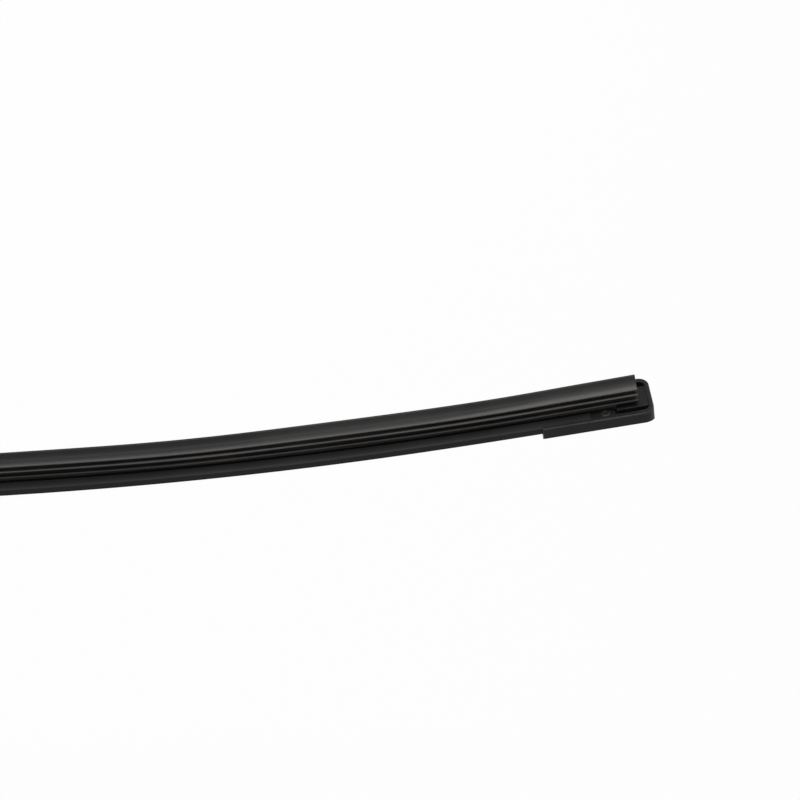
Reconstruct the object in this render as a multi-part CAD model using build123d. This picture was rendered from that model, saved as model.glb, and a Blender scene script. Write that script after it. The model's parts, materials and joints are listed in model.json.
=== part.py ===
from build123d import *
import os
from math import cos, degrees, sin

# Flat wiper blade for a hook-type arm, in millimetres.
# X runs along the blade, the rubber lip points to +Z and the arm's pivot is at the origin.
# Sections are drawn in (y, h): y across the blade, h towards the lip, zero on the claws' lower face.

# Blade and bow
BLADE_LENGTH = 480.0
MID_RADIUS = 960.0
END_RADIUS = 1520.0
MID_REACH = 172.0
PIVOT_DEPTH = 13.0
TIP = BLADE_LENGTH / 2

# Wiper rubber
RUBBER_END_GAP = 3.9
LIP_HEIGHT = 8.6
LIP_THICKNESS = 0.66
LIP_STRAIGHT = 0.15
SHOULDER_HEIGHT = 5.55
SHOULDER_HALF = 2.6
SHOULDER_EDGE = 0.35
SHOULDER_ROOT = 0.75
NECK_HALF = 0.5
RIB_HALF = 3.05
RIB_HEIGHTS = (3.75, 1.65)
RIB_EDGE = 0.4
RIB_ROOT = 0.95
STEM_HALF = 1.1
HEAD_HALF = 2.6
HEAD_THICKNESS = 0.7

# Spring rails, which lie in the grooves under the rubber's head
RAIL_INNER = 1.4
RAIL_OUTER = 4.9
RAIL_FACE = -0.95
RAIL_THICKNESS = 0.9
RAIL_END_GAP = 10.8
RAIL_CORNER = 0.8
RAIL_ROOM = 0.1

# Spoiler: claws below, air-deflector fin on the back
HOLDER_HALF = 5.85
SIDE_HEIGHT = 2.3
SIDE_GROWTH = 0.53
FIN_GROWTH = 0.8
CLAW_REACH = 2.95
CLAW_THICKNESS = 0.85
EDGE_BREAK = 0.35
FIN_HEIGHT = 10.3
FIN_OFFSET = 3.1
FIN_THICKNESS = 1.0
FIN_CROWN = 0.35
FLANK_RADIUS = 15.0
SPOILER_START = 34.2
SPOILER_END_GAP = 17.7

# End cap: an open tray round the ends of the spoiler, rails and rubber
CAP_LENGTH = 31.5
CAP_HALF = 7.1
CAP_WALL = 1.15
CAP_GROWTH = 1.5
CAP_RIM = 0.6
CAP_EDGE = 0.35
CAP_CORNER = 3.0
CAP_BACK_END = 4.6
CAP_BACK_FLAT = 10.0
SOCKET_ROOM = 0.2
TRAY_HALF = 5.65
BLOCK_FRONT = 3.5
BLOCK_REAR = 4.3
BLOCK_END_GAP = 10.2
PEG_END_GAP = 13.45
PEG_RADIUS = 1.3
PEG_RISE = -0.1
PEG_DIMPLE_RADIUS = 0.5
PEG_DIMPLE_DEPTH = 0.6

# Connector base, pivot pin and hook adapter
BASE_HALF_LENGTH = 28.0
BASE_HALF = 6.6
FLOOR_DEPTH = 4.0
CLAW_WINDOW = (9.0, 20.0)
EAR_INNER = 5.1
EAR_RADIUS = 5.2
EAR_FOOT = 17.0
EAR_BLEND = 4.0
WALL_TOP = 5.6
TROUGH_HALF_LENGTH = 26.0
SHOULDER_END = 33.0
HOOD_END = 42.0
HOOD_FLAT = 5.0
HOOD_LOW = 7.7
PIN_RADIUS = 2.5
PIN_SEAT_ROOM = 0.02
PIN_RUN_ROOM = 0.05
PIN_HEAD_RADIUS = 3.8
PIN_HEAD_THICKNESS = 0.9
ADAPTER_HALF = 4.6
NOSE_RADIUS = 4.2
NOSE_CENTRE = 4.8
ADAPTER_TAIL = 14.0
TONGUE_THICKNESS = 1.5
TONGUE_GAP = 1.2
TONGUE_ROOT = 4.0
TONGUE_TIP = 16.0
LOCK_BUMP = (-8.2, -7.0, -5.4)
LOCK_HEIGHT = 0.9
SNAP_MOUTH = 4.3
POCKET_WALL = 1.5

BEYOND = 2.0
RAIL_BACK = RAIL_FACE - RAIL_THICKNESS
SLOT_CEILING = RAIL_BACK - RAIL_ROOM
HEAD_TOP = SLOT_CEILING - HEAD_THICKNESS
POCKET_CEILING = HEAD_TOP - 1.5 * RAIL_ROOM
POCKET_HALF = HEAD_HALF + 1.5 * RAIL_ROOM
RUBBER_END = TIP - RUBBER_END_GAP
SPOILER_END = TIP - SPOILER_END_GAP
CAP_START = TIP - CAP_LENGTH


def bow_plane(s):
    """Section plane at distance s along the bow from the centre, facing the right-hand tip."""
    side = 1 if s >= 0 else -1
    mid = min(abs(s), MID_REACH) / MID_RADIUS
    turn = mid + max(abs(s) - MID_REACH, 0) / END_RADIUS
    x = MID_RADIUS * sin(mid) + END_RADIUS * (sin(turn) - sin(mid))
    z = MID_RADIUS * (1 - cos(mid)) + END_RADIUS * (cos(mid) - cos(turn))
    return Plane((side * x, 0, PIVOT_DEPTH + z), x_dir=(0, 1, 0), z_dir=(cos(turn), 0, side * sin(turn)))


def along_bow(section, start, stop):
    """Section carried along the bow, one stretch of constant radius at a time."""
    ends = [start] + [s for s in (-MID_REACH, MID_REACH) if start < s < stop] + [stop]
    stretches = []
    for near, far in zip(ends, ends[1:]):
        radius = MID_RADIUS if abs(near + far) / 2 < MID_REACH else END_RADIUS
        plane = bow_plane(near)
        turn_axis = Axis(plane.from_local_coords((0, radius, 0)), (0, -1, 0))
        stretches.append(revolve(plane * section, turn_axis, degrees((far - near) / radius)))
    return stretches[0] + stretches[1:]


def along_tangent(section, touch, start, stop):
    """Section carried straight from start to stop, in the bow's direction at touch."""
    plane = bow_plane(touch)
    return extrude(plane.offset(start - touch) * section, stop - start, dir=plane.z_dir)


def band(half_width, low, high):
    """Part of a section that is symmetrical about the blade's middle."""
    return Pos(0, (low + high) / 2) * Rectangle(2 * half_width, high - low)


def side_rib(height):
    """Pair of ribs on the rubber's stem, thick at the root and thin at the edges."""
    edge = RIB_EDGE / 2
    root = RIB_ROOT / 2
    upper = [(-RIB_HALF, height + edge), (0, height + root), (RIB_HALF, height + edge)]
    lower = [(RIB_HALF, height - edge), (0, height - root), (-RIB_HALF, height - edge)]
    return Polygon(*upper, *lower, align=None)


def wiper_rubber():
    """Lip that flares into a shoulder, on a thin neck, two ribs, a stem and a head over the rails."""
    lip = LIP_THICKNESS / 2
    flare_top = LIP_HEIGHT - LIP_STRAIGHT
    under = SHOULDER_HEIGHT - SHOULDER_EDGE
    root = SHOULDER_HEIGHT - SHOULDER_ROOT
    flank = TangentArc((lip, flare_top), (SHOULDER_HALF, SHOULDER_HEIGHT), tangent=(0, -1))
    underside = Polyline((SHOULDER_HALF, SHOULDER_HEIGHT), (SHOULDER_HALF, under), (0, root), (0, LIP_HEIGHT))
    edge = Polyline((0, LIP_HEIGHT), (lip, LIP_HEIGHT), (lip, flare_top))
    half = make_face(flank + underside + edge)
    section = half + mirror(half, Plane.YZ)
    section += band(NECK_HALF, RIB_HEIGHTS[0], SHOULDER_HEIGHT)
    section += band(STEM_HALF, HEAD_TOP, RIB_HEIGHTS[0])
    section += band(HEAD_HALF, HEAD_TOP, SLOT_CEILING + RAIL_ROOM / 2)
    for height in RIB_HEIGHTS:
        section += side_rib(height)
    return along_bow(section, -RUBBER_END, RUBBER_END)


def spring_rail(side):
    """Flat steel strip with rounded ends and a peg hole near each; side is -1 at the front, 1 at the rear."""
    middle = side * (RAIL_INNER + RAIL_OUTER) / 2
    strip = Rectangle(RAIL_OUTER - RAIL_INNER, RAIL_THICKNESS)
    reach = TIP - RAIL_END_GAP
    rail = along_bow(Pos(middle, RAIL_FACE - RAIL_THICKNESS / 2) * strip, -reach, reach)
    rail = fillet(rail.edges().filter_by(lambda edge: edge.length < 2 * RAIL_THICKNESS), RAIL_CORNER)
    for end in (-1, 1):
        rail -= peg_place(end, middle) * Cylinder(PEG_RADIUS + RAIL_ROOM, 4 * RAIL_THICKNESS)
    return rail


def peg_place(end, y):
    """Where a peg crosses a rail's lower face, with its axis towards the lip."""
    plane = bow_plane(end * (TIP - PEG_END_GAP))
    return Plane(plane.from_local_coords((y, RAIL_FACE, 0)), x_dir=plane.z_dir, z_dir=plane.y_dir)


def rail_slot():
    """Space for the rails and the rubber's head, open between the claws."""
    slot = band(CLAW_REACH, -CLAW_THICKNESS, BEYOND)
    slot += band(RAIL_OUTER + RAIL_ROOM, SLOT_CEILING, -CLAW_THICKNESS)
    slot += band(POCKET_HALF, POCKET_CEILING, SLOT_CEILING)
    return slot


def fin_outline(growth, top):
    """Outer section of the spoiler grown by a wall, from the fin's crown to the height top."""
    half = HOLDER_HALF + growth
    side = -SIDE_HEIGHT - SIDE_GROWTH * growth
    crown = -FIN_HEIGHT - growth
    front = FIN_OFFSET - FIN_THICKNESS / 2 - FIN_GROWTH * growth
    rear = FIN_OFFSET + FIN_THICKNESS / 2 + FIN_GROWTH * growth
    middle = ((front + rear) / 2, crown - FIN_CROWN)
    outline = Polyline((-half, side), (-half, top - EDGE_BREAK), (-half + EDGE_BREAK, top))
    outline += Line((-half + EDGE_BREAK, top), (half - EDGE_BREAK, top))
    outline += Polyline((half - EDGE_BREAK, top), (half, top - EDGE_BREAK), (half, side))
    outline += RadiusArc((half, side), (rear, crown), -FLANK_RADIUS)
    outline += ThreePointArc((rear, crown), middle, (front, crown))
    outline += RadiusArc((front, crown), (-half, side), -FLANK_RADIUS)
    return make_face(outline)


def spoiler():
    """Right-hand spoiler: claws round the rails and a fin that leans to the rear."""
    return along_bow(fin_outline(0, 0) - rail_slot(), SPOILER_START, SPOILER_END)


def cap_plan(half, corner, start, stop, low, high):
    """Upright block from height low to high, square at the cap's mouth and rounded at the tip."""
    plane = bow_plane(CAP_START)
    outline = Pos((start + stop) / 2 - CAP_START, 0) * Rectangle(stop - start, 2 * half)
    outline = fillet(outline.vertices().group_by(Axis.X)[-1], corner)
    floor = Plane(plane.origin, x_dir=plane.z_dir, z_dir=plane.y_dir).offset(low)
    return extrude(floor * outline, high - low)


def falling_back(touch, mouth, end, flat, end_depth):
    """Block across a socket with its outline from the front: full height at the mouth, falling to the end."""
    plane = bow_plane(touch)
    way = 1 if end > mouth else -1
    crown = -FIN_HEIGHT - CAP_GROWTH - FIN_CROWN
    shoulder = (mouth + way * flat - touch, crown)
    low = (end - touch, -end_depth)
    outside = mouth - way * BEYOND - touch
    past = end + way * BEYOND - touch
    outline = TangentArc(shoulder, low, tangent=(way, 0))
    outline += Polyline(low, (past, -end_depth), (past, BEYOND), (outside, BEYOND))
    outline += Polyline((outside, BEYOND), (outside, crown - BEYOND), (shoulder[0], crown - BEYOND), shoulder)
    side = Plane(plane.origin, x_dir=plane.z_dir, z_dir=(0, -1, 0)) * make_face(outline)
    return extrude(side, 2 * CAP_HALF, both=True)


def end_cap():
    """Right-hand end cap: a rimmed tray with a socket for the spoiler, pegs and a rubber clamp block."""
    socket_end = SPOILER_END + SOCKET_ROOM
    inner_end = TIP - CAP_WALL
    rubber_end = RUBBER_END + SOCKET_ROOM
    cap = cap_plan(CAP_HALF, CAP_CORNER, CAP_START, TIP, -2 * FIN_HEIGHT, CAP_RIM)
    rim = cap.faces().sort_by(Axis.Z)[-1].edges().sort_by(Axis.X)[1:]
    cap = fillet(rim, CAP_EDGE)
    cap &= along_tangent(fin_outline(CAP_GROWTH, BEYOND), CAP_START, CAP_START - BEYOND, TIP + BEYOND)
    cap &= falling_back(CAP_START, CAP_START, TIP, CAP_BACK_FLAT, CAP_BACK_END)
    cap -= along_tangent(fin_outline(SOCKET_ROOM, 2 * BEYOND), CAP_START, CAP_START - BEYOND, socket_end)
    cap -= cap_plan(TRAY_HALF, CAP_CORNER - CAP_WALL, socket_end - BEYOND, inner_end, SLOT_CEILING, BEYOND)
    block_depth = CAP_WALL - SLOT_CEILING
    block = Rectangle(BLOCK_FRONT + BLOCK_REAR, block_depth)
    block = Pos((BLOCK_REAR - BLOCK_FRONT) / 2, -block_depth / 2) * block
    cap += along_tangent(block, CAP_START, TIP - BLOCK_END_GAP, TIP - CAP_WALL / 2)
    peg_length = RAIL_THICKNESS + PEG_RISE + CAP_WALL
    for side in (-1, 1):
        place = peg_place(1, side * (RAIL_INNER + RAIL_OUTER) / 2)
        cap += place * Pos(0, 0, PEG_RISE - peg_length / 2) * Cylinder(PEG_RADIUS, peg_length)
        cap -= place * Pos(0, 0, PEG_RISE) * Cylinder(PEG_DIMPLE_RADIUS, 2 * PEG_DIMPLE_DEPTH)
    slot = band(STEM_HALF + RAIL_ROOM, SLOT_CEILING, BEYOND)
    slot += band(POCKET_HALF, POCKET_CEILING, RAIL_BACK + 4 * RAIL_ROOM)
    return cap - along_tangent(slot, CAP_START, socket_end - BEYOND, rubber_end)


def pivot_hole(radius):
    """Cylinder on the pivot's axis, through every piece there."""
    return Rot(X=90) * Cylinder(radius, 4 * BASE_HALF)


def hood():
    """Right-hand hood of the base: a socket that takes the spoiler's inner end."""
    socket_start = SPOILER_START - SOCKET_ROOM
    section = fin_outline(CAP_GROWTH, 0) - rail_slot()
    shell = along_tangent(section, socket_start, TROUGH_HALF_LENGTH, HOOD_END)
    shell &= falling_back(socket_start, HOOD_END, TROUGH_HALF_LENGTH, HOOD_FLAT, HOOD_LOW)
    socket = along_tangent(fin_outline(SOCKET_ROOM, BEYOND), socket_start, socket_start, HOOD_END + BEYOND)
    return shell - socket


def saddle_walls():
    """Two side walls with pivot ears, joined at each end by a shoulder that narrows towards the hood."""
    foot = PIVOT_DEPTH - FLOOR_DEPTH + BEYOND / 2
    side = make_hull([Circle(EAR_RADIUS).edge(), Line((-EAR_FOOT, foot), (EAR_FOOT, foot))])
    side += Pos(0, (WALL_TOP + foot) / 2) * Rectangle(2 * SHOULDER_END, foot - WALL_TOP)
    ear_roots = side.vertices().filter_by(lambda corner: abs(corner.Y - WALL_TOP) < RAIL_ROOM)
    side = fillet(ear_roots.sort_by(Axis.X)[1:-1], EAR_BLEND)
    narrow = BASE_HALF - SHOULDER_END + BASE_HALF_LENGTH
    edge = [(0, BASE_HALF), (BASE_HALF_LENGTH, BASE_HALF), (SHOULDER_END, narrow), (SHOULDER_END, 0)]
    plan = make_face(Polyline(*edge, (0, 0), close=True))
    plan += mirror(plan, Plane.YZ)
    plan += mirror(plan, Plane.XZ)
    walls = extrude(Plane.XZ * side, BASE_HALF, both=True) & extrude(plan, 2 * PIVOT_DEPTH, both=True)
    return walls - Box(2 * TROUGH_HALF_LENGTH, 2 * EAR_INNER, 4 * PIVOT_DEPTH)


def connector_base():
    """Moulded saddle: claws round the rails, side walls with pivot ears, and a hood at each end."""
    section = band(BASE_HALF, -FLOOR_DEPTH, 0) - rail_slot()
    base = along_bow(section, -BASE_HALF_LENGTH, BASE_HALF_LENGTH)
    window = band(BASE_HALF + BEYOND, SLOT_CEILING, BEYOND)
    for near, far in (CLAW_WINDOW, (-CLAW_WINDOW[1], -CLAW_WINDOW[0])):
        base -= along_bow(window, near, far)
    right_hood = hood()
    base += saddle_walls() + right_hood + mirror(right_hood, Plane.YZ)
    return base - pivot_hole(PIN_RADIUS + PIN_SEAT_ROOM)


def pivot_pin():
    """Steel rivet through the two ears, with a flat head on each side."""
    pin = Rot(X=90) * Cylinder(PIN_RADIUS, 2 * BASE_HALF)
    for side in (-1, 1):
        middle = side * (BASE_HALF + PIN_HEAD_THICKNESS / 2)
        pin += Pos(0, middle, 0) * Rot(X=90) * Cylinder(PIN_HEAD_RADIUS, PIN_HEAD_THICKNESS)
    return pin


def hook_adapter():
    """Clip inside the arm's hook: round nose, snap mouth for the pin and a springy locking tongue."""
    nose = Pos(NOSE_CENTRE, 0) * Circle(NOSE_RADIUS)
    tongue_top = NOSE_RADIUS - TONGUE_THICKNESS
    gap_top = tongue_top - TONGUE_GAP
    body_middle = (NOSE_CENTRE - ADAPTER_TAIL) / 2
    profile = nose + Pos(body_middle, 0) * Rectangle(NOSE_CENTRE + ADAPTER_TAIL, 2 * NOSE_RADIUS)
    tip_middle = (-ADAPTER_TAIL - TONGUE_TIP) / 2
    tip = Rectangle(TONGUE_TIP - ADAPTER_TAIL, TONGUE_THICKNESS)
    profile += Pos(tip_middle, tongue_top + TONGUE_THICKNESS / 2) * tip
    slit_middle = (-TONGUE_ROOT - TONGUE_TIP) / 2
    profile -= Pos(slit_middle, (gap_top + tongue_top) / 2) * Rectangle(TONGUE_TIP - TONGUE_ROOT, TONGUE_GAP)
    back, crest, front = LOCK_BUMP
    bump = [(back, NOSE_RADIUS), (crest, NOSE_RADIUS + LOCK_HEIGHT), (front, NOSE_RADIUS)]
    profile += Polygon(*bump, align=None)
    profile -= Pos(0, NOSE_RADIUS) * Rectangle(SNAP_MOUTH, 2 * NOSE_RADIUS)
    clip = extrude(Plane.XZ * profile, ADAPTER_HALF, both=True)
    pocket_length = ADAPTER_TAIL - TONGUE_ROOT - 2 * POCKET_WALL
    pocket_depth = NOSE_RADIUS + gap_top - POCKET_WALL
    pocket = Box(pocket_length, 2 * (ADAPTER_HALF - POCKET_WALL), 2 * pocket_depth)
    clip -= Pos((-TONGUE_ROOT - ADAPTER_TAIL) / 2, 0, -NOSE_RADIUS) * pocket
    return clip - pivot_hole(PIN_RADIUS + PIN_RUN_ROOM)


right_spoiler = spoiler()
right_cap = end_cap()
nodes = {
    "wiper_rubber": wiper_rubber(),
    "spring_rail_front": spring_rail(-1),
    "spring_rail_rear": spring_rail(1),
    "spoiler_right": right_spoiler,
    "spoiler_left": mirror(right_spoiler, Plane.YZ),
    "end_cap_right": right_cap,
    "end_cap_left": mirror(right_cap, Plane.YZ),
    "connector_base": connector_base(),
    "pivot_pin": pivot_pin(),
    "hook_adapter": hook_adapter(),
}

os.makedirs("parts", exist_ok=True)
for name, shape in nodes.items():
    export_step(shape, f"parts/{name}.step")
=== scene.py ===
"""Looks of a flat, bowed wiper blade: rubber, spoilers, end caps, connector, light and camera.

Fields hold sizes in millimetres and meshes hold metres. The blade runs along X with its lip up, the arm's
pivot is the origin, and a section is drawn in (y, h): y across the blade, h towards the lip.
"""

from __future__ import annotations

import json
import logging
import math
from dataclasses import asdict, dataclass, field, fields
from enum import Enum
from typing import Any, Union

import bmesh
import bpy
from mathutils import Matrix, Vector

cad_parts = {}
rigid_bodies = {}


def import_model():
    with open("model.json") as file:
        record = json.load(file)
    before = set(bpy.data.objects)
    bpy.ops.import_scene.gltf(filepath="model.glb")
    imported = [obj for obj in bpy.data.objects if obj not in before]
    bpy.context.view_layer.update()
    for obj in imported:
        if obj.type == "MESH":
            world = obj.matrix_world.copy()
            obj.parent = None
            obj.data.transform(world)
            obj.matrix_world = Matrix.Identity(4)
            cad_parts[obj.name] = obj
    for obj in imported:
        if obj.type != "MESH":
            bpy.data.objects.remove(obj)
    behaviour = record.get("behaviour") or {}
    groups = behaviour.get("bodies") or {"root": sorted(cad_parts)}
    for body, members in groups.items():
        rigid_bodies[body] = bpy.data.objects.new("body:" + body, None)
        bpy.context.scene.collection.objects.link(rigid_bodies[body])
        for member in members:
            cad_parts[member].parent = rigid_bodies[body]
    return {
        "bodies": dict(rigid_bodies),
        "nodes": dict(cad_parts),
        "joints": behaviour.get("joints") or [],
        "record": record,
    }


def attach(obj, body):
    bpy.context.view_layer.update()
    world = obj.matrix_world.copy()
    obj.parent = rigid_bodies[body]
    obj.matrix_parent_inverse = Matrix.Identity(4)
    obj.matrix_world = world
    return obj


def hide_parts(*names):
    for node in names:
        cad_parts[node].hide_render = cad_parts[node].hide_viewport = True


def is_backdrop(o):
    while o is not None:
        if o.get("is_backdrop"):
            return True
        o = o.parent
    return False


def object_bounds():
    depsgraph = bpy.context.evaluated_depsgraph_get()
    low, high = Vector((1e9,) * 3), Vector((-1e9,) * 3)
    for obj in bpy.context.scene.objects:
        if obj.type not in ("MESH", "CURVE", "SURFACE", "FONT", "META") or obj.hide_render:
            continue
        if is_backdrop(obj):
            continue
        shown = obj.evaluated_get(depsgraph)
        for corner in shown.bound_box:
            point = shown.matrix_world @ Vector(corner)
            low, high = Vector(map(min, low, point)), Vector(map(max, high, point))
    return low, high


LOG = logging.getLogger("wiper_blade")
MM = 0.001
SECTION_COORDINATES = "section_coordinates"
# Mark of the rounded outer edges, which the plastic finishes paint paler: scuffing and painted highlight.
EDGE_WEAR_AND_HIGHLIGHT = "edge_wear"
SLOPE = "slope"
WHITE = (1.0, 1.0, 1.0, 1.0)
# Noise between which a surface goes from smooth to dull
SMOOTH_TO_DULL = (0.3, 0.7)
# A height or distance that no section has, for what a finish lacks
OUT_OF_REACH = 100.0

Band = tuple[float, float]
Colour = tuple[float, float, float]
Node = bpy.types.Node
Number = Union["Value", float]
Place = tuple[float, float, float]
Point = tuple[float, float]
Socket = bpy.types.NodeSocket


class Slot(Enum):
    """Material slots of the record."""

    RUBBER = "rubber"
    SPRING_STEEL = "spring_steel"
    SPOILER = "spoiler"
    CAP_PLASTIC = "cap_plastic"
    PIN_STEEL = "pin_steel"
    ADAPTER_PLASTIC = "adapter_plastic"


class Body(Enum):
    """Moving bodies of the part."""

    CLIP = "clip"
    BLADE = "blade"


class End(Enum):
    """The two ends of the blade, with the side of X that they lie on."""

    LEFT = -1
    RIGHT = 1

    @property
    def word(self) -> str:
        """Name of the end as the nodes spell it."""
        return self.name.lower()


class Value:
    """Number carried by a node's output, with arithmetic that adds Math nodes."""

    def __init__(self, graph: Graph, socket: Socket) -> None:
        """Keeps the tree and the socket."""
        self.graph = graph
        self.socket = socket

    def __add__(self, other: Number) -> Value:
        """Sum."""
        return self.graph.math("ADD", self, other)

    def __sub__(self, other: Number) -> Value:
        """Difference."""
        return self.graph.math("SUBTRACT", self, other)

    def __rsub__(self, other: float) -> Value:
        """Difference from a number on the left."""
        return self.graph.math("SUBTRACT", other, self)

    def __mul__(self, other: Number) -> Value:
        """Product."""
        return self.graph.math("MULTIPLY", self, other)

    def __truediv__(self, other: Number) -> Value:
        """Quotient."""
        return self.graph.math("DIVIDE", self, other)

    def __neg__(self) -> Value:
        """Negative."""
        return self * -1.0

    __radd__ = __add__
    __rmul__ = __mul__


def between(amount: Number, low: Number, high: Number) -> Number:
    """Gives low for an amount of 0, high for 1, and what lies between for the rest."""
    return low + (high - low) * amount


class Graph:
    """Node tree under construction, for a material, the world or a geometry tree."""

    def __init__(self, tree: bpy.types.NodeTree) -> None:
        """Keeps the tree."""
        self.tree = tree

    def node(self, kind: str, sockets: dict[Any, Any] | None = None, **settings: Any) -> Node:
        """Adds one node.

        Args:
            kind: Blender's type name of the node.
            sockets: values, sockets or Values for the inputs, by name or by place.
            settings: the node's own attributes, which are set first.

        Returns:
            The new node.
        """
        made = self.tree.nodes.new(kind)
        for name, setting in settings.items():
            setattr(made, name, setting)
        for key, value in (sockets or {}).items():
            self.feed(self._input(made, key), value)
        return made

    def output(self, kind: str, sockets: dict[Any, Any] | None = None, **settings: Any) -> Socket:
        """Adds one node and gives its first output."""
        return self.node(kind, sockets, **settings).outputs[0]

    @staticmethod
    def _input(node: Node, key: str | int) -> Socket:
        """Finds an input by place, or by name among those that are in use."""
        named = (socket for socket in node.inputs if socket.name == key and socket.enabled)
        return node.inputs[key] if isinstance(key, int) else next(named)

    def feed(self, socket: Socket, value: Any) -> None:
        """Links or sets one input.

        Args:
            socket: the input.
            value: a Value, another node's output, or a constant.
        """
        if isinstance(value, Value):
            value = value.socket
        if isinstance(value, Socket):
            self.tree.links.new(value, socket)
        else:
            socket.default_value = value

    def value(self, node: Node, output: str | int = 0) -> Value:
        """Wraps one output of a node as a number."""
        return Value(self, node.outputs[output])

    def math(self, operation: str, *terms: Number) -> Value:
        """Adds a Math node.

        Args:
            operation: the node's operation.
            terms: numbers or Values for its inputs.

        Returns:
            The result.
        """
        return self.value(self.node("ShaderNodeMath", dict(enumerate(terms)), operation=operation))

    def blend(self, amount: Number, low: Colour, high: Colour) -> Socket:
        """Mixes two colours.

        Args:
            amount: 0 gives low and 1 gives high.
            low: one colour.
            high: the other colour.

        Returns:
            The mixed colour's socket.
        """
        sockets = {"Factor": amount, "A": (*low, 1.0), "B": (*high, 1.0)}
        mixed = self.node("ShaderNodeMix", sockets, data_type="RGBA")
        return next(socket for socket in mixed.outputs if socket.enabled)

    def spread(self, value: Number, low: Number, high: Number) -> Value:
        """Moves a number from the range low to high to the range 0 to 1, with soft ends."""
        sockets = {"Value": value, "From Min": low, "From Max": high}
        return self.value(self.node("ShaderNodeMapRange", sockets, interpolation_type="SMOOTHSTEP"))

    def noise(self, vector: Socket, scale: float, detail: float) -> Value:
        """Noise from 0 to 1, with scale cells per unit of the vector and detail octaves."""
        sockets = {"Vector": vector, "Scale": scale, "Detail": detail}
        return self.value(self.node("ShaderNodeTexNoise", sockets))

    def vector(self, x: Any = 0.0, y: Any = 0.0, z: Any = 0.0) -> Socket:
        """Joins three numbers into a vector."""
        return self.output("ShaderNodeCombineXYZ", {"X": x, "Y": y, "Z": z})

    def parts(self, vector: Socket) -> list[Value]:
        """Splits a vector into its three numbers."""
        split = self.node("ShaderNodeSeparateXYZ", {0: vector})
        return [self.value(split, axis) for axis in "XYZ"]

    def object_place(self) -> Socket:
        """Gives the object's own coordinates, in metres."""
        return self.node("ShaderNodeTexCoord").outputs["Object"]


@dataclass(frozen=True)
class Finish:
    """Surface of one kind of piece; each kind says what varies over it.

    Attributes:
        name: the material's name.
        colour: base colour.
        worn: paler colour of dust, bloom, scuffs and stains, and of painted sheen, painted highlights and
            painted light.
        gloss, dull: roughness where the surface is smoothest and dullest.
        specular: strength of the plain reflection.
        relief: height of the surface's bumps in millimetres.
        metallic: 1 for bare metal.
    """

    name: str
    colour: Colour
    worn: Colour
    gloss: float
    dull: float
    specular: float
    relief: float
    metallic: float = 0.0

    def material(self) -> bpy.types.Material:
        """Makes the material.

        Returns:
            A material with one Principled shader.
        """
        made = bpy.data.materials.new(self.name)
        made.use_nodes = True
        made.diffuse_color = (*self.colour, 1.0)
        graph = Graph(made.node_tree)
        sockets = made.node_tree.nodes["Principled BSDF"].inputs
        paleness, dullness, height = self.pattern(graph)
        bump = {"Strength": 1.0, "Distance": self.relief * MM, "Height": height}
        # In the rubber and plastic finishes the paleness also carries painted sheen, painted highlights and
        # painted light.
        graph.feed(sockets["Base Color"], graph.blend(paleness, self.colour, self.worn))
        graph.feed(sockets["Roughness"], between(dullness, self.gloss, self.dull))
        graph.feed(sockets["Normal"], graph.output("ShaderNodeBump", bump))
        sockets["Specular IOR Level"].default_value = self.specular
        sockets["Metallic"].default_value = self.metallic
        return made

    def pattern(self, graph: Graph) -> tuple[Value, Value, Value]:
        """Says what varies over the surface.

        Args:
            graph: the material's tree.

        Returns:
            Paleness, from dust, bloom, scuffs and stains and from any painted light, dullness and height,
            each about 0 to 1.
        """
        raise NotImplementedError


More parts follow.
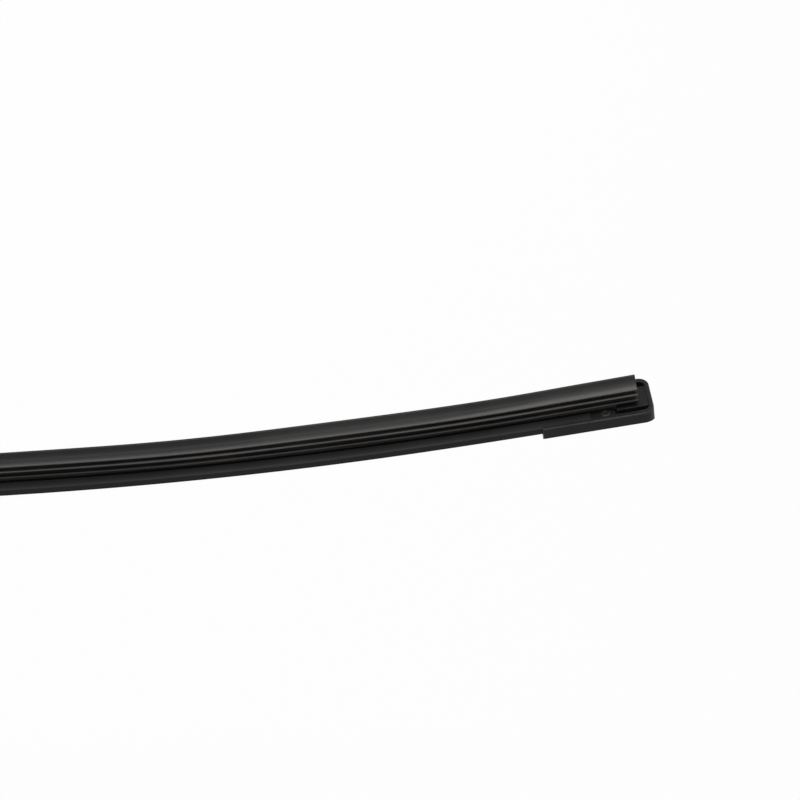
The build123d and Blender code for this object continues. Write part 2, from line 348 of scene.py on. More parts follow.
@dataclass(frozen=True)
class ExtrudedFinish(Finish):
    """Extruded rubber: fine lines along the blade, faint bloom, a pale coat over the shoulder with painted
    sheen, painted light in the shaded grooves and painted highlights on the outer edges.

    Attributes:
        line_length, line_width: size of the extrusion lines.
        line_band, patch_band: noise of lines and patches between which bloom shows.
        line_bloom, patch_bloom: strength of the bloom on them.
        patch_rate, grain_rate: patches and grains per millimetre.
        grain_share: share of the grain in the surface's height; the rest is lines.
        coat_from, coat_rise: height where the pale coat with its painted sheen starts, and the rise to its
            full strength.
        coat_mid, coat_to: height where it is gone again in the middle of the blade and at its ends, so that
            the painted sheen narrows towards the centre.
        coat_reach: distances from the blade's centre between which that height changes.
        groove_to: distance from the middle plane up to which the grooves below the coat get painted light in
            their shade.
        groove_gap: depths below the coat's start between which they lose it.
        groove_powder: strength of that painted light.
        edge_from, edge_soft: distance from the middle plane where the painted highlights of the outer edges
            start, and their soft width.
        edge_heights, edge_least: heights between which the painted highlight grows, and its share below them.
        wear_reach: distances from the blade's centre between which bloom and edges grow paler: a painted
            falloff of the light, darker towards the centre.
            bloom_share, rub_share: shares of bloom and of the pale edges on the near and the far side of that
                reach.
        powder_share: strength of the coat and the painted light between the lines and on them.
    """

    line_length: float = 60.0
    line_width: float = 0.12
    line_band: Band = (0.45, 0.8)
    line_bloom: float = 0.1
    patch_rate: float = 0.06
    patch_band: Band = (0.35, 0.75)
    patch_bloom: float = 0.16
    grain_rate: float = 5.2
    grain_share: float = 0.4
    coat_from: float = OUT_OF_REACH
    coat_rise: float = 0.4
    coat_mid: float = OUT_OF_REACH + 1.0
    coat_to: float = OUT_OF_REACH + 1.0
    coat_reach: Band = (175.0, 222.0)
    groove_to: float = 0.01
    groove_gap: Band = (0.3, 0.1)
    groove_powder: float = 0.6
    edge_from: float = OUT_OF_REACH
    edge_soft: float = 0.15
    # By default the lower rib's edge gets half the painted highlight of the upper rib: painted shade under
    # the upper rib.
    edge_heights: Band = (1.7, 3.7)
    edge_least: float = 0.5
    wear_reach: Band = (85.0, 135.0)
    bloom_share: Band = (0.3, 1.36)
    rub_share: Band = (0.75, 1.0)
    powder_share: Band = (0.75, 1.15)

    def pattern(self, graph: Graph) -> tuple[Value, Value, Value]:
        """Lays lines, bloom, the coat with its painted sheen, painted light and painted highlights by the
        section's own coordinates.

        Args:
            graph: the material's tree.

        Returns:
            Paleness with the painted sheen, light and highlights, dullness and height.
        """
        section = graph.node("ShaderNodeAttribute", attribute_name=SECTION_COORDINATES).outputs["Vector"]
        along, around, height = (part / MM for part in graph.parts(section))
        spot = graph.object_place()
        far = graph.math("ABSOLUTE", along)
        outward = graph.math("ABSOLUTE", graph.parts(spot)[1] / MM)
        lines = graph.noise(graph.vector(along / self.line_length, around / self.line_width), 1.0, detail=3.0)
        patches = graph.noise(graph.vector(along, around), self.patch_rate, detail=4.0)
        grain = graph.noise(spot, self.grain_rate / MM, detail=2.0)
        # Pale band over the shoulder: a coat with painted sheen from the light above, narrower towards the
        # blade's centre.
        coat_sheen_full = self.coat_from + self.coat_rise
        coat_sheen_end = between(graph.spread(far, *self.coat_reach), self.coat_mid, self.coat_to)
        coat = graph.spread(height, self.coat_from, coat_sheen_full)
        coat *= 1.0 - graph.spread(height, coat_sheen_full, coat_sheen_end)
        # Painted light: the shaded grooves between the ribs, below the coat, are painted paler.
        groove = 1.0 - graph.spread(outward, self.groove_to / 2, self.groove_to)
        groove *= 1.0 - graph.spread(height, *(self.coat_from - gap for gap in self.groove_gap))
        # Painted falloff of the light: bloom and pale edges are painted darker towards the blade's centre.
        painted_falloff = graph.spread(far, *self.wear_reach)
        # Painted highlights on the outer edges, fainter lower down and darker towards the centre.
        pale_edge = graph.spread(outward, self.edge_from, self.edge_from + self.edge_soft)
        pale_edge *= between(graph.spread(height, *self.edge_heights), self.edge_least, 1.0)
        pale_edge *= between(painted_falloff, *self.rub_share)
        bloom = graph.spread(patches, *self.patch_band) * self.patch_bloom
        bloom += graph.spread(lines, *self.line_band) * self.line_bloom
        # The strongest of the coat with its painted sheen, the painted light in the grooves and the painted
        # edge highlights.
        coat_and_painted_light = graph.math("MAXIMUM", graph.math("MAXIMUM", coat, groove * self.groove_powder), pale_edge)
        paleness = bloom * between(painted_falloff, *self.bloom_share) + coat_and_painted_light * between(lines, *self.powder_share)
        dullness = graph.spread((patches + lines) / 2, *SMOOTH_TO_DULL)
        return graph.math("MINIMUM", paleness, 1.0), dullness, between(self.grain_share, lines, grain)


@dataclass(frozen=True)
class MouldedFinish(Finish):
    """Injection-moulded plastic: fine spark-eroded grain, faint flow clouds, specks, and pale rounded edges
    that are scuffed and carry painted highlights.

    Attributes:
        grain, cloud: sizes of the grain and of the flow clouds.
        grain_share: share of the grain in what makes the surface dull; the rest is clouds.
        speck_size: size of the specks in grains.
        cloud_band, speck_band: noise between which clouds and specks show.
        cloud_share, speck_share: how pale they are.
        rub_band: noise of the clouds between which the paleness of the edges grows.
        rub_share: how pale the least and the palest edges are.
    """

    grain: float = 0.22
    grain_share: float = 0.6
    cloud: float = 9.0
    cloud_band: Band = (0.35, 0.75)
    cloud_share: float = 0.12
    speck_size: float = 1.0 / 0.6
    speck_band: Band = (0.62, 0.8)
    speck_share: float = 0.1
    rub_band: Band = (0.35, 0.65)
    rub_share: Band = (0.45, 0.95)

    def pattern(self, graph: Graph) -> tuple[Value, Value, Value]:
        """Lays grain, clouds, specks and pale edges, which are scuffed and carry painted highlights.

        Args:
            graph: the material's tree.

        Returns:
            Paleness with the painted edge highlights, dullness and height.
        """
        place = graph.object_place()
        grain = graph.noise(place, 1.0 / (self.grain * MM), detail=3.0)
        clouds = graph.noise(place, 1.0 / (self.cloud * MM), detail=4.0)
        specks = graph.noise(place, 1.0 / (self.speck_size * self.grain * MM), detail=1.0)
        # Rounded outer edges painted paler: scuffing together with painted highlights along the edges.
        edge = graph.value(graph.node("ShaderNodeAttribute", attribute_name=EDGE_WEAR_AND_HIGHLIGHT), "Fac")
        pale_edge = edge * between(graph.spread(clouds, *self.rub_band), *self.rub_share)
        pale = graph.spread(clouds, *self.cloud_band) * self.cloud_share
        pale += graph.spread(specks, *self.speck_band) * self.speck_share
        dullness = graph.spread(between(self.grain_share, clouds, grain), *SMOOTH_TO_DULL)
        return graph.math("MAXIMUM", pale, pale_edge), dullness, grain


@dataclass(frozen=True)
class CoatedSteelFinish(Finish):
    """Spring steel with a thin black coat that has a slight orange peel.

    Attributes:
        peel: size of the orange peel.
        scuff_rate: scuffs per millimetre.
        scuff_band, scuff_share: noise between which the scuffs show, and how pale they are.
    """

    peel: float = 0.8
    scuff_rate: float = 0.09
    scuff_band: Band = (0.5, 0.8)
    scuff_share: float = 0.4

    def pattern(self, graph: Graph) -> tuple[Value, Value, Value]:
        """Lays orange peel and scuffs.

        Args:
            graph: the material's tree.

        Returns:
            Wear, dullness and height.
        """
        place = graph.object_place()
        peel = graph.noise(place, 1.0 / (self.peel * MM), detail=2.0)
        scuffs = graph.noise(place, self.scuff_rate / MM, detail=5.0)
        paleness = graph.spread(scuffs, *self.scuff_band) * self.scuff_share
        return paleness, graph.spread(scuffs, *SMOOTH_TO_DULL), peel


@dataclass(frozen=True)
class TurnedSteelFinish(Finish):
    """Plain steel of a rivet, with turning marks round its axis along Y.

    Attributes:
        pitch: distance between the turning marks.
        mark_share: share of the marks in what makes the surface dull; the rest is stains.
        stain_rate: stains per millimetre.
        stain_band, stain_share: noise between which the stains show, and their strength.
        dull_band: marks and stains between which the surface goes from smooth to dull.
    """

    pitch: float = 0.16
    mark_share: float = 0.6
    stain_rate: float = 1.9
    stain_band: Band = (0.45, 0.8)
    stain_share: float = 0.5
    dull_band: Band = (0.1, 0.9)

    def pattern(self, graph: Graph) -> tuple[Value, Value, Value]:
        """Lays turning marks by the distance to the rivet's axis, and stains.

        Args:
            graph: the material's tree.

        Returns:
            Wear, dullness and height.
        """
        place = graph.object_place()
        across, _, up = graph.parts(place)
        radius = graph.math("SQRT", across * across + up * up)
        marks = graph.math("SINE", radius * (2 * math.pi / (self.pitch * MM))) / 2 + 0.5
        stains = graph.noise(place, self.stain_rate / MM, detail=5.0)
        paleness = graph.spread(stains, *self.stain_band) * self.stain_share
        return paleness, graph.spread(between(self.mark_share, stains, marks), *self.dull_band), marks


# Painted light on the lip rubber: painted sheen in the coat band over the shoulder, painted light in the
# shaded grooves, painted highlights on the ribs' outer edges, and a painted falloff towards the blade's
# centre.
LIP_RUBBER = ExtrudedFinish(
    "coated_lip_rubber", (0.009, 0.009, 0.009), (0.076, 0.0725, 0.069),
    gloss=0.36, dull=0.48, specular=0.24, relief=0.012,
    coat_from=5.1, coat_mid=5.8, coat_to=6.7, edge_from=2.6, groove_to=2.4,
)
# On the spoilers the pale edge spreads over the claws' top faces: painted shade of the rubber on their inner
# part, painted highlight on their outer edge.
SPOILER_ELASTOMER = ExtrudedFinish(
    "extruded_spoiler", (0.0115, 0.0115, 0.0118), (0.026, 0.026, 0.026),
    gloss=0.42, dull=0.56, specular=0.1, relief=0.014,
    line_width=0.2, edge_from=3.3, edge_soft=2.4, edge_heights=(-0.42, -0.36), edge_least=0.0,
)
# The cap and the clip also get their paler colour on the rounded edges: scuffing and painted highlight.
CAP_PLASTIC = MouldedFinish(
    "grained_cap_plastic", (0.0115, 0.0115, 0.012), (0.046, 0.0455, 0.046),
    gloss=0.36, dull=0.5, specular=0.11, relief=0.025,
)
STAKED_PLASTIC = MouldedFinish(
    "melted_peg_plastic", (0.02, 0.02, 0.0205), (0.05, 0.05, 0.05),
    gloss=0.3, dull=0.42, specular=0.3, relief=0.01, grain=0.5,
)
ADAPTER_PLASTIC = MouldedFinish(
    "smooth_clip_plastic", (0.016, 0.016, 0.017), (0.06, 0.06, 0.062),
    gloss=0.3, dull=0.42, specular=0.5, relief=0.008, grain=0.4,
)
BLACK_STEEL = CoatedSteelFinish(
    "black_coated_steel", (0.012, 0.012, 0.0125), (0.025, 0.025, 0.026),
    gloss=0.36, dull=0.5, specular=0.2, relief=0.01,
)
RIVET_STEEL = TurnedSteelFinish(
    "turned_rivet_steel", (0.56, 0.56, 0.57), (0.4, 0.39, 0.38),
    gloss=0.24, dull=0.42, specular=0.5, relief=0.012, metallic=1.0,
)


@dataclass
class Outline:
    """Closed section outline, drawn against the clock, corner by corner.

    Attributes:
        corners: y, h and rounding radius of each corner, in millimetres.
        steps: flat pieces in each rounding.
    """

    corners: list[tuple[float, float, float]] = field(default_factory=list)
    steps: int = 4

    def corner(self, y: float, h: float, rounding: float = 0.0) -> Outline:
        """Adds one corner and returns the outline."""
        self.corners.append((y, h, rounding))
        return self

    def arc(self, start: Point, stop: Point, radius: float, pieces: int) -> None:
        """Adds a curve that is hollow as seen from outside the piece.

        Args:
            start: where it starts.
            stop: where it stops.
            radius: its radius.
            pieces: flat pieces in it.
        """
        a, b = Vector(start), Vector(stop)
        chord = b - a
        outward = Vector((chord.y, -chord.x)).normalized()
        centre = (a + b) / 2 + outward * math.sqrt(radius * radius - chord.length_squared / 4)
        for y, h in self._turned(centre, a, b, pieces):
            self.corner(y, h)

    @staticmethod
    def _turned(centre: Vector, start: Vector, stop: Vector, pieces: int) -> list[Point]:
        """Follows a curve round a centre.

        Args:
            centre: its centre.
            start: where it starts.
            stop: where it stops.
            pieces: flat pieces in it.

        Returns:
            The ends of the flat pieces.
        """
        first = start - centre
        turn = first.angle_signed(stop - centre)
        turns = [Matrix.Rotation(-turn * step / pieces, 2) for step in range(pieces + 1)]
        return [tuple(centre + turned @ first) for turned in turns]

    def mirrored(self) -> Outline:
        """Adds the mirror image of what is drawn so far, back to the start, and returns the outline."""
        self.corners += [(-y, h, rounding) for y, h, rounding in reversed(self.corners) if y > 0]
        return self

    def points(self) -> list[Point]:
        """Gives the outline's points with every corner rounded.

        Returns:
            The points in order.
        """
        found: list[Point] = []
        count = len(self.corners)
        for place, (y, h, rounding) in enumerate(self.corners):
            if rounding <= 0:
                found.append((y, h))
                continue
            here = Vector((y, h))
            back = (Vector(self.corners[place - 1][:2]) - here).normalized()
            ahead = (Vector(self.corners[(place + 1) % count][:2]) - here).normalized()
            half = back.angle(ahead) / 2
            centre = here + (back + ahead).normalized() * (rounding / math.sin(half))
            reach = rounding / math.tan(half)
            found += self._turned(centre, here + back * reach, here + ahead * reach, self.steps)
        return found


@dataclass(frozen=True)
class Bow:
    """Free bow of the blade, tighter in the middle than at the ends.

    Attributes:
        mid_radius, end_radius: radii of the middle stretch and of the two end stretches.
        mid_reach: distance from the centre where the radius changes.
        depth: height of the claws' lower face above the pivot at the centre.
    """

    mid_radius: float = 960.0
    end_radius: float = 1520.0
    mid_reach: float = 172.0
    depth: float = 13.0

    def place(self, along: float, y: float, h: float) -> tuple[Vector, float]:
        """Finds a point of a section.

        Args:
            along: signed distance from the centre along the bow.
            y: place across the blade.
            h: height in the section.

        Returns:
            The point in millimetres and the bow's slope there in radians.
        """
        mid = min(abs(along), self.mid_reach) / self.mid_radius
        turn = mid + max(abs(along) - self.mid_reach, 0.0) / self.end_radius
        x = self.mid_radius * math.sin(mid) + self.end_radius * (math.sin(turn) - math.sin(mid))
        z = self.mid_radius * (1 - math.cos(mid)) + self.end_radius * (math.cos(mid) - math.cos(turn))
        spot = Vector((x - h * math.sin(turn), y, self.depth + z + h * math.cos(turn)))
        spot.x = math.copysign(spot.x, along)
        return spot, math.copysign(turn, along)


@dataclass(frozen=True)
class Sway:
    """How far free rubber strays sideways from its straight section.

    Attributes:
        wave, wave_length: height and length of slow waves along the blade.
        wave_crest: distance from the centre of a crest towards the front.
        lean: how far the lip's edge leans to the front.
        held_from: distance from the centre where both start to fade towards the end.
        held_to, free_from: heights up to which the rubber is held straight and from which it waves freely.
        lean_from, lean_to: heights from which the lip leans and where it leans most.
    """

    wave: float = 0.0
    wave_length: float = 85.0
    wave_crest: float = 108.0
    lean: float = 0.0
    held_from: float = 195.0
    held_to: float = -1.0
    free_from: float = 2.0
    lean_from: float = 5.0
    lean_to: float = 9.0


def link(made: bpy.types.Object) -> bpy.types.Object:
    """Puts a new object in the scene and returns it."""
    bpy.context.scene.collection.objects.link(made)
    return made


def settle(piece: bpy.types.Object) -> None:
    """Turns a piece and its modifiers into a plain mesh.

    Args:
        piece: the piece.
    """
    bpy.context.view_layer.update()
    evaluated = piece.evaluated_get(bpy.context.evaluated_depsgraph_get())
    mesh = bpy.data.meshes.new_from_object(evaluated)
    piece.modifiers.clear()
    piece.data = mesh


def even_shading(piece: bpy.types.Object, sharp: float = 40.0) -> None:
    """Shades a piece smooth, with its flats flat and its sharp edges sharp.

    Args:
        piece: a piece with a plain mesh.
        sharp: angle in degrees from which an edge stays sharp.
    """
    piece.data.shade_smooth()
    piece.data.set_sharp_from_angle(angle=math.radians(sharp))
    weighted = piece.modifiers.new("even shading", "WEIGHTED_NORMAL")
    weighted.keep_sharp = True
    settle(piece)


def hand_over(piece: bpy.types.Object, body: Body, node: str | None = None) -> None:
    """Tells the frame what a finished piece is.

    Args:
        piece: the piece.
        body: the body that it moves with.
        node: the solid that it stands for, if it isn't an added detail.
    """
    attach(piece, body.value)
    if node is not None:
        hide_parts(node)
    LOG.info("%s: %d faces, stands for %s", piece.name, len(piece.data.polygons), node)


def input_name(size: str) -> str:
    """Name of a geometry tree's input for a field, such as Mid Radius for mid_radius."""
    return size.replace("_", " ").title()


class GeometryGraph(Graph):
    """Geometry tree under construction, from named inputs to one geometry with its material."""

    def __init__(self, name: str, inputs: dict[str, str]) -> None:
        """Makes the tree.

        Args:
            name: its name.
            inputs: kind of each input, by the input's name.
        """
        super().__init__(bpy.data.node_groups.new(name, "GeometryNodeTree"))
        for title, kind in inputs.items():
            self.tree.interface.new_socket(title, in_out="INPUT", socket_type=f"NodeSocket{kind}")
        self.tree.interface.new_socket("Geometry", in_out="OUTPUT", socket_type="NodeSocketGeometry")
        self.given = self.node("NodeGroupInput").outputs

    def sizes(self, kind: type) -> list[Value]:
        """Gives the inputs that stand for the fields of a class, in the fields' order."""
        return [Value(self, self.given[input_name(item.name)]) for item in fields(kind)]

    def capture(self, geometry: Socket, value: Value) -> tuple[Socket, Value]:
        """Keeps a number on the points of a geometry.

        Args:
            geometry: the geometry.
            value: the number.

        Returns:
            The geometry that keeps the number, and the kept number.
        """
        node = self.node("GeometryNodeCaptureAttribute", {"Geometry": geometry}, domain="POINT")
        node.capture_items.new("FLOAT", "Kept")
        self.feed(node.inputs[1], value)
        return node.outputs[0], self.value(node, 1)

    def hand_out(self, geometry: Socket) -> None:
        """Ends the tree: makes instances real, sets the material and gives the result out.

        Args:
            geometry: what the tree has made.
        """
        whole = self.output("GeometryNodeRealizeInstances", {"Geometry": geometry})
        sockets = {"Geometry": whole, "Material": self.given["Surface"]}
        self.node("NodeGroupOutput", {"Geometry": self.output("GeometryNodeSetMaterial", sockets)})

    def run(self, piece: bpy.types.Object, inputs: dict[str, Any]) -> None:
        """Runs the tree on a piece, which keeps the result as a plain mesh.

        Args:
            piece: the piece.
            inputs: what goes into each input, by the input's name.
        """
        modifier = piece.modifiers.new(self.tree.name, "NODES")
        modifier.node_group = self.tree
        for item in self.tree.interface.items_tree:
            if item.in_out == "INPUT" and item.name in inputs:
                modifier[item.identifier] = inputs[item.name]
        settle(piece)


@dataclass
class BowSweep:
    """Geometry tree that carries a section along the bow.

    Attributes:
        bow: the bow to follow.
        step: distance between two sections.
    """

    bow: Bow = field(default_factory=Bow)
    step: float = 3.0

    def __post_init__(self) -> None:
        """Builds the tree once, for every piece that follows the bow."""
        lengths = ["start", "stop", *(item.name for kind in (Bow, Sway) for item in fields(kind))]
        inputs = {"Section": "Object", "Surface": "Material", "Steps": "Int"}
        inputs.update((input_name(length), "Float") for length in lengths)
        self.graph = GeometryGraph("bow_sweep", inputs)
        self._build()

    def _build(self) -> None:
        """Adds the tree's nodes: path, section, sweep, stored coordinates and material."""
        graph, given = self.graph, self.graph.given
        ends = {"Start": graph.vector(given["Start"]), "End": graph.vector(given["Stop"])}
        line = graph.output("GeometryNodeCurvePrimitiveLine", ends)
        even = {"Curve": line, "Count": given["Steps"]}
        path = graph.output("GeometryNodeResampleCurve", even, mode="COUNT")
        here = graph.output("GeometryNodeInputPosition")
        path, along = graph.capture(path, graph.parts(here)[0])
        path = graph.output("GeometryNodeSetPosition", {"Geometry": path, "Position": self._place(along)})
        path = graph.output("GeometryNodeSetCurveNormal", {"Curve": path}, mode="Z_UP")
        section = graph.node("GeometryNodeObjectInfo", {"Object": given["Section"]}).outputs["Geometry"]
        length = graph.value(graph.node("GeometryNodeSplineParameter"), "Length")
        section, around = graph.capture(section, length)
        section, drawn = graph.capture(section, graph.parts(here)[1])
        height = -drawn
        sweep = {"Curve": path, "Profile Curve": section, "Fill Caps": True}
        solid = graph.output("GeometryNodeCurveToMesh", sweep)
        offset = self._sway(along, height)
        solid = graph.output("GeometryNodeSetPosition", {"Geometry": solid, "Offset": offset})
        coordinates = graph.vector(along, around, height)
        stored = {"Geometry": solid, "Name": SECTION_COORDINATES, "Value": coordinates}
        kind = {"data_type": "FLOAT_VECTOR", "domain": "POINT"}
        graph.hand_out(graph.output("GeometryNodeStoreNamedAttribute", stored, **kind))

    def _place(self, along: Value) -> Socket:
        """Finds the place on the bow, as Bow.place does.

        Args:
            along: signed distance from the centre along the bow.

        Returns:
            The socket of the place.
        """
        graph = self.graph
        mid_radius, end_radius, reach, depth = graph.sizes(Bow)
        far = graph.math("ABSOLUTE", along)
        mid = graph.math("MINIMUM", far, reach) / mid_radius
        turn = mid + graph.math("MAXIMUM", far - reach, 0.0) / end_radius
        sine, cosine = graph.math("SINE", mid), graph.math("COSINE", mid)
        x = mid_radius * sine + end_radius * (graph.math("SINE", turn) - sine)
        rise = end_radius * (cosine - graph.math("COSINE", turn))
        z = depth + mid_radius * (1.0 - cosine) + rise
        return graph.vector(x=x * graph.math("SIGN", along), z=z)

    def _sway(self, along: Value, height: Value) -> Socket:
        """Finds the sideways offset of what the section doesn't hold.

        Args:
            along: signed distance from the centre along the bow.
            height: height in the section.

        Returns:
            The socket of the offset.
        """
        graph = self.graph
        sizes = graph.sizes(Sway)
        wave, wave_length, wave_crest, lean, held_from, held_to, free_from, lean_from, lean_to = sizes
        stop = Value(graph, graph.given["Stop"])
        fade = 1.0 - graph.spread(graph.math("ABSOLUTE", along), held_from, stop)
        waves = wave * graph.math("COSINE", (along - wave_crest) / wave_length * (2 * math.pi))
        across = waves * graph.spread(height, held_to, free_from)
        across += lean * graph.spread(height, lean_from, lean_to)
        return graph.vector(y=-(across * fade))

    def piece(
        self, name: str, outline: Outline, start: float, stop: float,
        finish: bpy.types.Material, sway: Sway = Sway(),
    ) -> bpy.types.Object:
        """Carries an outline along the bow.

        Args:
            name: the piece's name.
            outline: its section.
            start: signed distance from the centre where it starts.
            stop: where it stops.
            finish: its material.
            sway: how far it strays sideways.

        Returns:
            The finished piece.
        """
        drawing = bpy.data.curves.new(name + "_section", "CURVE")
        drawing.dimensions = "3D"
        spline = drawing.splines.new("POLY")
        points = outline.points()
        spline.points.add(len(points) - 1)
        for point, (y, h) in zip(spline.points, points):
            point.co = (-y * MM, -h * MM, 0.0, 1.0)
        spline.use_cyclic_u = True
        section = link(bpy.data.objects.new(name + "_section", drawing))
        piece = link(bpy.data.objects.new(name, bpy.data.meshes.new(name)))
        lengths = {"start": start, "stop": stop, **asdict(self.bow), **asdict(sway)}
        inputs = {input_name(size): length * MM for size, length in lengths.items()}
        steps = round((stop - start) / self.step) + 1
        self.graph.run(piece, {"Section": section, "Surface": finish, "Steps": steps, **inputs})
        bpy.data.objects.remove(section)
        even_shading(piece)
        return piece


@dataclass
class WiperRubber:
    """Rubber insert: lip, shoulder, neck, two ribs, stem and the head over the rails."""

    node: str = "wiper_rubber"
    end: float = 236.08
    lip_height: float = 8.6
    lip_half: float = 0.33
    lip_straight: float = 0.15
    lip_corner: float = 0.05
    flare_start: Point = (0.12, 0.03)
    flare_pieces: int = 18
    shoulder_height: float = 5.55
    shoulder_half: float = 2.6
    shoulder_edge: float = 0.35
    shoulder_root: float = 0.75
    shoulder_corner: float = 0.1
    neck_half: float = 0.5
    rib_half: float = 3.05
    rib_heights: tuple[float, float] = (1.65, 3.75)
    rib_edge: float = 0.4
    rib_root: float = 0.95
    rib_corner: float = 0.12
    stem_half: float = 1.1
    stem_corner: float = 0.15
    head_half: float = 2.6
    head_top: float = -2.65
    head_face: float = -1.9
    head_corner: float = 0.1
    sway: Sway = Sway(wave=0.16, lean=0.26)

    def outline(self) -> Outline:
        """Draws the section from the head's top round to the lip and back.

        Returns:
            The section's outline.
        """
        drawn = Outline()
        drawn.corner(0.0, self.head_top).corner(self.head_half, self.head_top, self.head_corner)
        drawn.corner(self.head_half, self.head_face, self.head_corner)
        drawn.corner(self.stem_half, self.head_face, self.stem_corner)
        for height, above in zip(self.rib_heights, (self.stem_half, self.neck_half)):
            drawn.corner(self.stem_half, self._rib_face(height, self.stem_half, -1), self.rib_corner)
            drawn.corner(self.rib_half, height - self.rib_edge / 2, self.rib_corner)
            drawn.corner(self.rib_half, height + self.rib_edge / 2, self.rib_corner)
            drawn.corner(above, self._rib_face(height, above, 1), self.rib_corner)
        under = self.shoulder_height - self.shoulder_edge
        fall = self.shoulder_root - self.shoulder_edge
        root = under - fall * (1 - self.neck_half / self.shoulder_half)
        drawn.corner(self.neck_half, root, self.rib_corner)
        drawn.corner(self.shoulder_half, under, self.shoulder_corner)
        drawn.corner(self.shoulder_half, self.shoulder_height, self.shoulder_corner)
        inset, lift = self.flare_start
        foot = (self.shoulder_half - inset, self.shoulder_height + lift)
        drawn.arc(foot, *self._flare(), self.flare_pieces)
        drawn.corner(self.lip_half, self.lip_height, self.lip_corner)
        return drawn.mirrored()

    def _flare(self) -> tuple[Point, float]:
        """Shapes the lip's flank.

        Returns:
            Its top, and the radius that leaves the lip upright.
        """
        top = self.lip_height - self.lip_straight
        across, rise = self.shoulder_half - self.lip_half, top - self.shoulder_height
        return (self.lip_half, top), (across * across + rise * rise) / (2 * across)

    def _rib_face(self, height: float, y: float, side: int) -> float:
        """Height of a rib's face at a distance from the middle; side is 1 on top and -1 below."""
        thickness = self.rib_root + (self.rib_edge - self.rib_root) * y / self.rib_half
        return height + side * thickness / 2

    def build(self, sweep: BowSweep) -> None:
        """Makes the rubber and hands it over.

        Args:
            sweep: the bow to follow.
        """
        finish = LIP_RUBBER.material()
        piece = sweep.piece("rubber_insert", self.outline(), -self.end, self.end, finish, self.sway)
        hand_over(piece, Body.BLADE, self.node)


@dataclass
class Spoiler:
    """Extruded spoilers: claws round the rails and a fin that leans to the rear."""

    start: float = 34.2
    stop: float = 222.3
    half: float = 5.85
    side: float = -2.3
    side_strip: float = 0.3
    edge_break: float = 0.35
    edge_corner: float = 0.25
    claw_reach: float = 2.95
    claw_back: float = -0.85
    claw_corner: float = 0.2
    claw_back_corner: float = 0.12
    slot_half: float = 5.0
    slot_ceiling: float = -1.95
    pocket_half: float = 2.75
    pocket_ceiling: float = -2.8
    crown: float = -10.3
    crown_rise: float = 0.35
    fin_middle: float = 3.1
    fin_half: float = 0.5
    flank_radius: float = 15.0
    flank_pieces: int = 24

    def outline(self) -> Outline:
        """Draws the section from the middle of the pocket round the front claw, the fin and the rear claw.

        Returns:
            The section's outline.
        """
        claw = Outline()
        claw.corner(self.pocket_half, self.pocket_ceiling).corner(self.pocket_half, self.slot_ceiling)
        claw.corner(self.slot_half, self.slot_ceiling).corner(self.slot_half, self.claw_back)
        claw.corner(self.claw_reach, self.claw_back, self.claw_back_corner)
        claw.corner(self.claw_reach, 0.0, self.claw_corner)
        claw.corner(self.half - self.edge_break, 0.0, self.edge_corner)
        claw.corner(self.half, -self.edge_break, self.edge_corner)
        drawn = Outline().corner(0.0, self.pocket_ceiling)
        drawn.corners += [(-y, h, rounding) for y, h, rounding in claw.corners]
        drawn.corner(-self.half, self.side + self.side_strip)
        front = (self.fin_middle - self.fin_half, self.crown)
        drawn.arc((-self.half, self.side), front, self.flank_radius, self.flank_pieces)
        for share in (-0.5, 0.0, 0.5):
            rise = self.crown_rise * (1 - share * share)
            drawn.corner(self.fin_middle + share * self.fin_half, self.crown - rise)
        rear = (self.fin_middle + self.fin_half, self.crown)
        drawn.arc(rear, (self.half, self.side), self.flank_radius, self.flank_pieces)
        drawn.corners += reversed(claw.corners)
        return drawn

    def build(self, sweep: BowSweep) -> None:
        """Makes both spoilers and hands them over.

        Args:
            sweep: the bow to follow.
        """
        finish = SPOILER_ELASTOMER.material()
        for end in End:
            start, stop = sorted((end.value * self.start, end.value * self.stop))
            piece = sweep.piece(f"fin_spoiler_{end.word}", self.outline(), start, stop, finish)
            hand_over(piece, Body.BLADE, f"spoiler_{end.word}")


